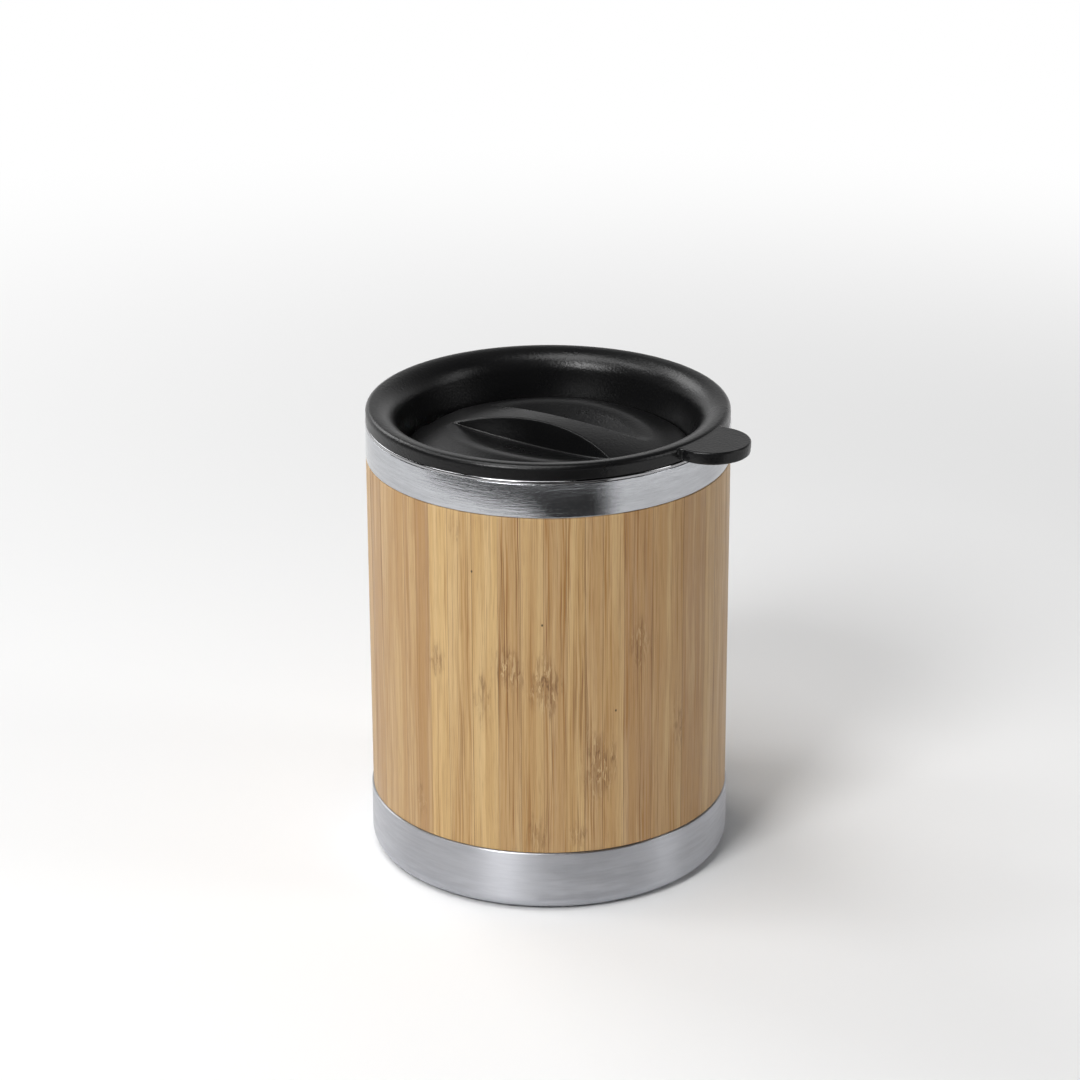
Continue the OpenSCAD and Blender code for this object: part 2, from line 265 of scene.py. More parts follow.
def mouth_band():
    """Outer steel cup: a band over a necked waist, which the sleeve hides."""
    corner = FOOT_R + EDGE_R
    lo, hi = shell_lo.z, shell_hi.z
    shelf_z = BAND_Z + STEEL_WALL
    outline = [(0, lo)] + arc(WAIST_R - corner, lo + corner, corner, -90, 0)
    outline += [(WAIST_R, BAND_Z)]
    outline += arc(BAND_R - EDGE_R, BAND_Z + EDGE_R, EDGE_R, -90, 0, 6)
    outline += arc(BAND_R - GROOVE_R, hi - GROOVE_R, GROOVE_R, 0, 90, 4)
    outline += [(BAND_R - STEEL_WALL, hi), (BAND_R - STEEL_WALL, shelf_z), (NECK_R, shelf_z)]
    outline += arc(WAIST_R - corner, lo + corner, corner - STEEL_WALL, 0, -90)
    outline += [(0, lo + STEEL_WALL)]
    return finish_mesh(turned(outline, closed=False), "mouth_band")


def drinking_cup():
    """Liner: a drawn cup that flares into the polished steel edge below the lid."""
    wall = STEEL_WALL
    lo = liner_lo.z
    edge_z = MOUTH_Z - LIP_EDGE_H
    bend_x = SEAT_R + FLARE_R
    bend_z = MOUTH_Z - FLARE_R
    corner_x, corner_z = LINER_R - LINER_CORNER_R, lo + wall + LINER_CORNER_R
    outline = [(0, lo + wall)] + arc(corner_x, corner_z, LINER_CORNER_R, -90, 0, 16)
    outline += [(LINER_R, SHOULDER_Z), (SEAT_R, SEAT_Z)]
    outline += arc(bend_x, bend_z, FLARE_R, 180, 90)
    outline += arc(BAND_R - LIP_EDGE_R, MOUTH_Z - LIP_EDGE_R, LIP_EDGE_R, 90, 0, 8)
    outline += arc(BAND_R - GROOVE_R, edge_z + GROOVE_R, GROOVE_R, 0, -90, 4)
    outline += arc(bend_x, bend_z, FLARE_R - wall, 90, 180)
    outline += [(SEAT_R + wall, SEAT_Z), (LINER_R + wall, SHOULDER_Z)]
    outline += arc(corner_x, corner_z, LINER_CORNER_R + wall, 0, -90, 16)
    outline += [(0, lo)]
    return finish_mesh(turned(outline, closed=False), "drinking_cup")


def lid_outline():
    """Half-section of the lid, from the foot of its plug round over the lip and the floor."""
    skirt_r = PLUG_R - SKIRT_T
    crest_x = FLANGE_R - LIP_OUTER_R - CREST_W
    wall_x = crest_x - LIP_INNER_R * cos(WELL_DRAFT)
    wall_z = CREST_Z - LIP_INNER_R + LIP_INNER_R * sin(WELL_DRAFT)
    pocket_r = wall_x - (wall_z - POCKET_TOP) * tan(WELL_DRAFT)
    floor_bottom = FLOOR_Z - FLOOR_T
    r = INSIDE_EDGE_R
    outline = [(skirt_r, PLUG_Z)] + arc(PLUG_R - r, PLUG_Z + r, r, -90, 0, 5)
    outline += [(PLUG_R, gasket_lo.z), (GROOVE_BED_R, gasket_lo.z)]
    outline += [(GROOVE_BED_R, gasket_hi.z), (PLUG_R, gasket_hi.z), (PLUG_R, LID_Z + CORE_H)]
    outline += [(PLUG_R + CORE_W, LID_Z + CORE_H), (PLUG_R + CORE_W, LID_Z)]
    outline += arc(FLANGE_R - FLANGE_EDGE_R, LID_Z + FLANGE_EDGE_R, FLANGE_EDGE_R, -90, 0, 5)
    outline += arc(FLANGE_R - LIP_OUTER_R, CREST_Z - LIP_OUTER_R, LIP_OUTER_R, 0, 90, 14)
    outline += arc(crest_x, CREST_Z - LIP_INNER_R, LIP_INNER_R, 90, 180 - degrees(WELL_DRAFT), 16)
    outline += [(pocket_r, POCKET_TOP)]
    outline += arc(pocket_r - r, FLOOR_Z + r, r, 0, -90, 5)
    outline += [(HUB_HOLE_R, FLOOR_Z), (HUB_HOLE_R, floor_bottom)]
    outline += arc(skirt_r - r, floor_bottom - r, r, 90, 0, 5)
    return outline, pocket_r


def tab_outline():
    """Plan of the thumb tab: a round end, with a fillet on each side where it meets the flange."""
    reach, spread = FLANGE_R + TAB_ROOT_R, TAB_R + TAB_ROOT_R
    root_x = (reach ** 2 - spread ** 2 + TAB_X ** 2) / (2 * TAB_X)
    root_y = sqrt(reach ** 2 - root_x ** 2)
    root_turn = degrees(atan2(root_y, root_x))
    end_turn = degrees(atan2(root_y, root_x - TAB_X))
    sunk_r = FLANGE_R - LIP_OUTER_R
    inside = (sunk_r * cos(radians(root_turn)), sunk_r * sin(radians(root_turn)))
    side = [inside] + arc(root_x, root_y, TAB_ROOT_R, 180 + root_turn, end_turn + 180, 6)
    side += arc(TAB_X, 0, TAB_R, end_turn, 0, 40)
    return side + [(x, -y) for x, y in reversed(side[:-1])]


def thumb_tab():
    """Tab of the lid: two halves that meet at a parting line, with rounded edges."""
    shape = bmesh.new()
    middle = TAB_Z + TAB_T / 2
    corners = [shape.verts.new((x, y, middle)) for x, y in tab_outline()]
    plan = shape.faces.new(corners)
    upper = bmesh.ops.extrude_face_region(shape, geom=[plan])["geom"]
    top_verts = [v for v in upper if isinstance(v, bmesh.types.BMVert)]
    top = next(f for f in upper if isinstance(f, bmesh.types.BMFace))
    bmesh.ops.translate(shape, verts=top_verts, vec=(0, 0, TAB_T / 2))
    bmesh.ops.bevel(shape, geom=list(top.edges), offset=TAB_EDGE_R, segments=5,
                    affect="EDGES", profile=0.5, material=-1)
    lower = next(f for f in shape.faces if all(abs(v.co.z - middle) < WELD for v in f.verts))
    bmesh.ops.inset_region(shape, faces=[lower], thickness=PARTING_STEP, use_even_offset=True)
    under = bmesh.ops.extrude_face_region(shape, geom=[lower])["geom"]
    foot = next(f for f in under if isinstance(f, bmesh.types.BMFace))
    bmesh.ops.translate(shape, verts=list(foot.verts), vec=(0, 0, -TAB_T / 2))
    if lower.is_valid:
        bmesh.ops.delete(shape, geom=[lower], context="FACES_ONLY")
    bmesh.ops.bevel(shape, geom=list(foot.edges), offset=TAB_FOOT_R, segments=5,
                    affect="EDGES", profile=0.5, material=-1)
    return finish_mesh(shape, "thumb_tab", sharp_angle=30)


def slot_cutter(pocket_r):
    """Straight slot with round ends, opposite the tab."""
    end_y = (SLOT_L - SLOT_W) / 2
    end_r = pocket_r - SLOT_EDGE - SLOT_W / 2
    x = -sqrt(end_r ** 2 - end_y ** 2)
    plan = arc(x, end_y, SLOT_W / 2, 0, 180, 12) + arc(x, -end_y, SLOT_W / 2, 180, 360, 12)
    shape = bmesh.new()
    corners = [shape.verts.new((px, py, FLOOR_Z + FLOOR_T)) for px, py in plan]
    face = shape.faces.new(corners)
    grown = bmesh.ops.extrude_face_region(shape, geom=[face])["geom"]
    foot = [v for v in grown if isinstance(v, bmesh.types.BMVert)]
    bmesh.ops.translate(shape, verts=foot, vec=(0, 0, -3 * FLOOR_T))
    return finish_mesh(shape, "slot_cutter")


def lid_moulding():
    """Lid: lip, well, floor and plug in one moulding, with the tab and the drink slot."""
    outline, pocket_r = lid_outline()
    lid = finish_mesh(turned(outline), "lid_moulding")
    lid = combined(lid, thumb_tab(), "UNION")
    lid = combined(lid, slot_cutter(pocket_r), "DIFFERENCE")
    lid.data.set_sharp_from_angle(angle=radians(35))
    return even_normals(lid)


def dome_height(r):
    """Height of the dial's dome at a distance from the axis."""
    return CROWN_Z - DOME_R + sqrt(DOME_R ** 2 - r ** 2)


def dish_height(x, y):
    """Height of the scoops' dished floor, which is narrower across the rib than along it."""
    return DISH_FLOOR_Z + DISH_R - sqrt(DISH_R ** 2 - x ** 2 - (y / DISH_SHARE) ** 2)


def crossing(low, high, below):
    """The number between two others up to which a test holds."""
    for _ in range(30):
        middle = (low + high) / 2
        if below(middle):
            low = middle
        else:
            high = middle
    return low


def border_radius(turn):
    """Distance from the axis at which the rising edge of the dish meets the dome."""
    return crossing(0, DIAL_R, lambda r: dish_height(r * cos(turn), r * sin(turn)) < dome_height(r))


def border_place(turn):
    """Place where the dish meets the dome, as x and y."""
    r = border_radius(turn)
    return r * cos(turn), r * sin(turn)


def rounded_overlap(a, b, r):
    """Depth inside both of two shapes, with their common edge rounded to radius r."""
    return min(-r, max(a, b)) + hypot(max(a + r, 0), max(b + r, 0))


def grip_depth(point):
    """How far a point lies outside the dial's rounded top, in metres. It is negative inside."""
    x, y, near = point.x, point.y, 0.01 * MM
    over_dome = (point - Vector((0, 0, CROWN_Z - DOME_R))).length - DOME_R
    slope_x = (dish_height(x + near, y) - dish_height(x - near, y)) / (2 * near)
    slope_y = (dish_height(x, y + near) - dish_height(x, y - near)) / (2 * near)
    over_floor = (dish_height(x, y) - point.z) / sqrt(1 + slope_x ** 2 + slope_y ** 2)
    over_side = hypot(x, abs(y) - RIB_HALF_W - RIB_SIDE_R) - RIB_SIDE_R
    scoop = rounded_overlap(over_floor, over_side, CREASE_R)
    away = min(max(-over_side / ROUNDING_CHANGE, 0), 1)
    edge_r = RIDGE_R + (BORDER_R - RIDGE_R) * away ** 2 * (3 - 2 * away)
    return rounded_overlap(over_dome, -scoop, edge_r)


def settle(point):
    """Moves a point of the sharp-edged dial onto its rounded surface."""
    step, rounds, least_slope = 0.002 * MM, 5, 0.2
    axes = Matrix.Identity(3)
    for _ in range(rounds):
        depth = grip_depth(point)
        slope = Vector([
            (grip_depth(point + step * axis) - grip_depth(point - step * axis)) / (2 * step)
            for axis in axes
        ])
        if slope.length < least_slope:
            break
        point = point - slope * (depth / slope.length_squared)
    return point


def eased(share, closeness):
    """Spreads a share from 0 to 1 so that its ends lie closer together."""
    return share - closeness * sin(2 * pi * share) / (2 * pi)


def patch(shape, columns, rows, place):
    """Adds a grid of faces whose corners are placed by a function of two shares from 0 to 1."""
    grid = bmesh.ops.create_grid(shape, x_segments=columns, y_segments=rows, size=0.5)["verts"]
    for vert in grid:
        vert.co = place(vert.co.x + 0.5, vert.co.y + 0.5)


def dial_foot_outline():
    """Outline of the dial from its outer edge in below it and down the hub to the axis."""
    edge_z = dome_height(DIAL_R) - DIAL_EDGE_DROP
    outline = arc(DIAL_R - DIAL_EDGE_R, edge_z - DIAL_EDGE_R, DIAL_EDGE_R, 76, 0, 6)
    outline += [(DIAL_R, SEAL_TOP), (SEAL_INNER_R, SEAL_TOP), (SEAL_INNER_R, DIAL_Z)]
    groove_top = FLOOR_Z - FLOOR_T - JOINT_GAP
    groove_bottom = groove_top - CLIP_GROOVE_H
    outline += [(HUB_R, DIAL_Z), (HUB_R, groove_top), (CLIP_GROOVE_R, groove_top)]
    outline += [(CLIP_GROOVE_R, groove_bottom), (HUB_R, groove_bottom), (HUB_R, dial_lo.z)]
    outline += [(HUB_BORE_R, dial_lo.z), (HUB_BORE_R, DIAL_Z), (0, DIAL_Z)]
    return outline


def rim_place(turn, row, foot):
    """Place on the outside of the dial: first over the dome, then along its foot."""
    start, edge_x = border_radius(turn), DIAL_R - DIAL_EDGE_R
    if row < DOME_ROWS:
        r = start + (edge_x - start) * (row / DOME_ROWS) ** DOME_CROWDING
        z = dome_height(r)
    else:
        r, z = foot[row - DOME_ROWS]
    notched = cos(turn) < 0 and abs(sin(turn)) < NOTCH_HALF_W / DIAL_R
    if notched and row < DOME_ROWS + EDGE_ROWS:
        squeezed = start + (r - start) * (NOTCH_R - start) / (DIAL_R - start)
        if row >= DOME_ROWS and z > SEAL_TOP:
            z += dome_height(NOTCH_R) - dome_height(DIAL_R)
        r = squeezed
        if row < DOME_ROWS:
            z = dome_height(r)
    return Vector((r * cos(turn), r * sin(turn), z))


def twist_grip():
    """Dial: a dome with two finger scoops that leave a waisted rib, and a hub below."""
    side_y = RIB_HALF_W + RIB_SIDE_R

    def rib_half(x):
        return side_y - sqrt(RIB_SIDE_R ** 2 - x ** 2)

    def in_scoop(x):
        return dish_height(x, rib_half(x)) < dome_height(hypot(x, rib_half(x)))

    tip_x = crossing(0, DIAL_R, in_scoop)
    tip_y = rib_half(tip_x)
    tip_turn = atan2(tip_y, tip_x)
    scoop_columns, rib_rows, wall_rows, floor_rows = 84, 28, 14, 28
    rib_closeness, wall_closeness, floor_closeness = 0.9, 0.88, 0.93
    rows = [2 * eased(i / rib_rows, rib_closeness) - 1 for i in range(rib_rows + 1)]
    end_turns = [tip_turn * row for row in rows]
    notch_turn, play = asin(NOTCH_HALF_W / DIAL_R), 0.001
    for edge in (-notch_turn, notch_turn):
        after = next(i for i, turn in enumerate(end_turns) if turn > edge)
        end_turns[after - 1], end_turns[after] = edge - play, edge + play
    end_places = [border_place(turn) for turn in end_turns]
    scoop_turn = pi - 2 * tip_turn
    scoop_turns = [tip_turn + scoop_turn * i / scoop_columns for i in range(scoop_columns + 1)]
    border_places = [border_place(turn) for turn in scoop_turns]
    foot = dial_foot_outline()
    shape = bmesh.new()

    def rib_top(u, v):
        i, k = round(u * scoop_columns), round(v * rib_rows)
        x = border_places[i][0]
        bend = abs(x / tip_x) ** 3
        end_x, end_y = end_places[k]
        y = rib_half(x) * rows[k] + bend * (end_y - tip_y * rows[k])
        x += bend * (end_x - tip_x) * (1 if x > 0 else -1)
        return Vector((x, y, dome_height(hypot(x, y))))

    def rib_wall(side):
        def place(u, v):
            x = border_places[round(u * scoop_columns)][0]
            y = rib_half(x)
            top, bottom = dome_height(hypot(x, y)), dish_height(x, y)
            return Vector((x, side * y, bottom + (top - bottom) * eased(v, wall_closeness)))
        return place

    def scoop_floor(side):
        def place(u, v):
            x, far = border_places[round(u * scoop_columns)]
            near = rib_half(x)
            y = near + (far - near) * eased(v, floor_closeness)
            return Vector((x, side * y, min(dish_height(x, y), dome_height(hypot(x, y)))))
        return place

    def outside(turns, side=1, middle=0):
        def place(u, v):
            turn = middle + side * turns[round(u * (len(turns) - 1))]
            return rim_place(turn, round(v * outside_rows), foot)
        return place

    outside_rows = DOME_ROWS + len(foot) - 1
    patch(shape, scoop_columns, rib_rows, rib_top)
    for side in (-1, 1):
        patch(shape, scoop_columns, wall_rows, rib_wall(side))
        patch(shape, scoop_columns, floor_rows, scoop_floor(side))
        patch(shape, scoop_columns, outside_rows, outside(scoop_turns, side=side))
    patch(shape, rib_rows, outside_rows, outside(end_turns))
    patch(shape, rib_rows, outside_rows, outside(end_turns, side=-1, middle=pi))
    bmesh.ops.remove_doubles(shape, verts=shape.verts, dist=4 * WELD)
    # Only the scoops, the rib and the dome beside them are rounded
    beside, below = 3 * MM, 0.5 * MM
    top_r, top_z = border_radius(0) + beside, DISH_FLOOR_Z - below
    for vert in shape.verts:
        if vert.co.xy.length < top_r and vert.co.z > top_z:
            vert.co = settle(vert.co)
    return even_normals(finish_mesh(shape, "twist_grip", sharp_angle=50))


def seal_ring():
    """Silicone gasket of the plug, with two round beads."""
    bead_x = gasket_hi.x - BEAD_R
    lo, hi = gasket_lo.z, gasket_hi.z
    outline = [(GASKET_INNER_R, lo)] + arc(bead_x, lo + BEAD_R, BEAD_R, -90, 80)
    outline += arc(bead_x, hi - BEAD_R, BEAD_R, -80, 90) + [(GASKET_INNER_R, hi)]
    return finish_mesh(turned(outline), "seal_ring", sharp_angle=60)


class Finish:
    """A node material under construction, with short ways to add and link its nodes."""

    def __init__(self, name):
        self.material = bpy.data.materials.new(name)
        self.material.use_nodes = True
        self.tree = self.material.node_tree
        self.surface = next(n for n in self.tree.nodes if n.type == "BSDF_PRINCIPLED")
        self.place = self.node("ShaderNodeTexCoord").outputs["Object"]

    def node(self, kind, **settings):
        """Adds a node."""
        made = self.tree.nodes.new(kind)
        for key, value in settings.items():
            setattr(made, key, value)
        return made

    def feed(self, socket, value):
        """Links a socket to another, or sets its value."""
        if isinstance(value, bpy.types.NodeSocket):
            self.tree.links.new(value, socket)
        else:
            socket.default_value = value

    def math(self, operation, *values):
        """Result of a sum on sockets or numbers."""
        made = self.node("ShaderNodeMath", operation=operation)
        for socket, value in zip(made.inputs, values):
            self.feed(socket, value)
        return made.outputs[0]

    def vector(self, x, y, z):
        """A vector of three sockets or numbers."""
        made = self.node("ShaderNodeCombineXYZ")
        for socket, value in zip(made.inputs, (x, y, z)):
            self.feed(socket, value)
        return made.outputs[0]

    def noise(self, place, scale=1.0, detail=2.0, roughness=0.5, distortion=0.0):
        """Soft noise from about 0.2 to 0.8 at a place."""
        made = self.node("ShaderNodeTexNoise")
        self.feed(made.inputs["Vector"], place)
        made.inputs["Scale"].default_value = scale
        made.inputs["Detail"].default_value = detail
        made.inputs["Roughness"].default_value = roughness
        made.inputs["Distortion"].default_value = distortion
        return made.outputs["Fac"]

    def range(self, value, low, high, to_low=0.0, to_high=1.0):
        """Smooth step of a value between two limits."""
        made = self.node("ShaderNodeMapRange", interpolation_type="SMOOTHSTEP")
        for socket, number in zip(made.inputs, (value, low, high, to_low, to_high)):
            self.feed(socket, number)
        return made.outputs[0]

    def blend(self, share, low, high):
        """Mix of two colours."""
        made = self.node("ShaderNodeMix", data_type="RGBA")
        self.feed(made.inputs["Factor"], share)
        self.feed(made.inputs["A"], low if not isinstance(low, tuple) else (*low, 1))
        self.feed(made.inputs["B"], high if not isinstance(high, tuple) else (*high, 1))
        return made.outputs["Result"]

    def bump(self, height, depth, strength=1.0):
        """Normal of a surface with a relief of some depth in metres."""
        made = self.node("ShaderNodeBump")
        made.inputs["Strength"].default_value = strength
        made.inputs["Distance"].default_value = depth
        self.feed(made.inputs["Height"], height)
        return made.outputs["Normal"]

    def set(self, **inputs):
        """Sets or links inputs of the surface shader by name."""
        for name, value in inputs.items():
            self.feed(self.surface.inputs[name.replace("_", " ")], value)

    def around(self):
        """Turn round the axis in radians, and distance from it and height in mm."""
        parts = self.node("ShaderNodeSeparateXYZ")
        self.feed(parts.inputs[0], self.place)
        x, y, z = parts.outputs
        turn = self.math("ARCTAN2", y, x)
        out = self.distance(x, y)
        return turn, self.math("MULTIPLY", out, 1 / MM), self.math("MULTIPLY", z, 1 / MM)

    def distance(self, x, y):
        """Length of the diagonal of two sides."""
        squares = [self.math("MULTIPLY", side, side) for side in (x, y)]
        return self.math("SQRT", self.math("ADD", *squares))


def black_plastic():
    """Satin black moulding with a fine eroded grain and a few specks of dust."""
    f = Finish("black_plastic")
    black, lint = (0.0045, 0.0045, 0.0048), (0.2, 0.2, 0.2)
    speck_scale, dusty_share = 420, 0.015
    grain = f.noise(f.place, 1700, detail=2, roughness=0.6)
    wear = f.noise(f.place, 90, detail=4)
    specks = f.node("ShaderNodeTexVoronoi", feature="F1")
    f.feed(specks.inputs["Vector"], f.place)
    specks.inputs["Scale"].default_value = speck_scale
    near = f.range(specks.outputs["Distance"], 0.03, 0.07, 1.0, 0.0)
    sorter = f.node("ShaderNodeSeparateColor")
    f.feed(sorter.inputs[0], specks.outputs["Color"])
    rare = f.math("GREATER_THAN", sorter.outputs[0], 1 - dusty_share)
    colour = f.blend(f.math("MULTIPLY", near, rare), black, lint)
    f.set(Base_Color=colour, IOR=1.45, Specular_IOR_Level=0.38)
    f.set(Roughness=f.range(wear, 0.3, 0.7, 0.27, 0.33))
    f.set(Normal=f.bump(grain, 0.08 * MM, strength=0.8))
    return f.material


def brushed_steel(name, shade, roughness, streak, relief, anisotropic=0.9):
    """Steel brushed round the axis: fine streaks that run along the circumference."""
    f = Finish(name)
    turn, out, height = f.around()

    def streaks(along, across, **settings):
        """Noise drawn out round the axis, with its scales along and across the streaks."""
        place = f.vector(f.math("MULTIPLY", turn, along), out, f.math("MULTIPLY", height, across))
        return f.noise(place, **settings)

    fine = streaks(6.0, 1.6, detail=6, roughness=0.72)
    broad = streaks(2.5, 0.7)
    mix = f.math("ADD", f.math("MULTIPLY", fine, 0.7), f.math("MULTIPLY", broad, 0.3))
    tone = f.range(mix, 0.3, 0.7)
    dim = tuple(c * (1 - streak) for c in shade)
    f.set(Base_Color=f.blend(tone, dim, shade), Metallic=1.0)
    f.set(Roughness=f.range(mix, 0.3, 0.7, roughness * 1.15, roughness * 0.85))
    # A quarter turn makes highlights stretch up and down, across the brushing
    f.set(Anisotropic=anisotropic, Anisotropic_Rotation=0.25)
    tangent = f.node("ShaderNodeTangent", direction_type="RADIAL", axis="Z")
    f.set(Tangent=tangent.outputs[0])
    f.set(Normal=f.bump(fine, relief, strength=1.0))
    return f.material


# Strips that show from the front: turn of the left seam from the camera's side in degrees, tone
# from 0, pale gold, to 1, tan, and how many dark fibres it has, from 0 to 1
FRONT_STRIPS = (
    (-66, 0.7, 0.3), (-52, 0.75, 0.3), (-46, 1.0, 0.3), (-40, 0.0, 0.25), (-33.5, 0.25, 0.5),
    (-24.5, 0.0, 0.3), (-16, 0.5, 1.0), (-9, 0.3, 0.6), (-2.5, 0.6, 1.0), (5, 0.3, 0.8), (11, 0.6, 1.0),
    (16, 0.45, 0.8), (23.5, 0.95, 0.8), (33, 0.7, 0.5), (46, 0.95, 0.3), (56, 0.65, 0.4),
)
# Width of the strips that don't show, from least to most, in degrees
STRIP_WIDTHS = (14, 20)
# Knuckles that show from the front: turn and height of the middle, half width and half height in
# mm, and strength
KNUCKLES = (
    (-37, 57, 2.0, 4.0, 0.55), (-13, 57, 3.4, 4.6, 0.9), (-1, 54, 3.0, 7.0, 1.0), (29, 62, 2.6, 6.5, 0.6),
    (16, 34, 3.6, 8.0, 0.9), (-21, 50, 1.6, 6.5, 0.6), (-4, 18, 2.4, 4.6, 0.7), (9, 18, 2.0, 3.6, 0.6),
    (-30, 88, 1.3, 4.5, 0.4), (-44, 21, 1.5, 4.4, 0.5), (45, 40, 2.0, 6.0, 0.5),
)
# Small dark pores: turn from the camera's side in degrees and height in mm
PORES = ((-24, 79), (-2, 68), (21, 47))


def front_arc(turn_deg):
    """Arc length on the sleeve, in mm, of a turn from the camera's side in degrees."""
    return wrapped(VIEW_AZIMUTH - pi / 2 + radians(turn_deg)) * SLEEVE_R / MM


def strip_stops():
    """Share of the way round from the back, tone, fibres and a random salt of every strip."""
    chance = random.Random(5)
    placed = list(FRONT_STRIPS)
    last_width = 8
    turn = placed[-1][0] + last_width
    while turn < placed[0][0] + 360:
        placed.append((turn, chance.uniform(0, 0.9), chance.uniform(0.3, 1)))
        turn += chance.uniform(*STRIP_WIDTHS)
    stops = [((front_arc(turn) * MM / SLEEVE_R / (2 * pi)) % 1, tone, fibres, chance.random())
             for turn, tone, fibres in placed]
    return sorted(stops)


def strip_values(f, arc_mm):
    """Tone, fibres and salt of the strip at an arc length."""
    around = f.math("FRACT", f.math("DIVIDE", arc_mm, 2 * pi * SLEEVE_R / MM))
    ramp = f.node("ShaderNodeValToRGB")
    ramp.color_ramp.interpolation = "CONSTANT"
    stops = strip_stops()
    last = stops[-1]
    ramp.color_ramp.elements[0].position = 0
    ramp.color_ramp.elements[0].color = (*last[1:], 1)
    ramp.color_ramp.elements.remove(ramp.color_ramp.elements[1])
    for share, tone, fibres, salt in stops:
        ramp.color_ramp.elements.new(share).color = (tone, fibres, salt, 1)
    f.feed(ramp.inputs[0], around)
    parts = f.node("ShaderNodeSeparateColor")
    f.feed(parts.inputs[0], ramp.outputs["Color"])
    return parts.outputs


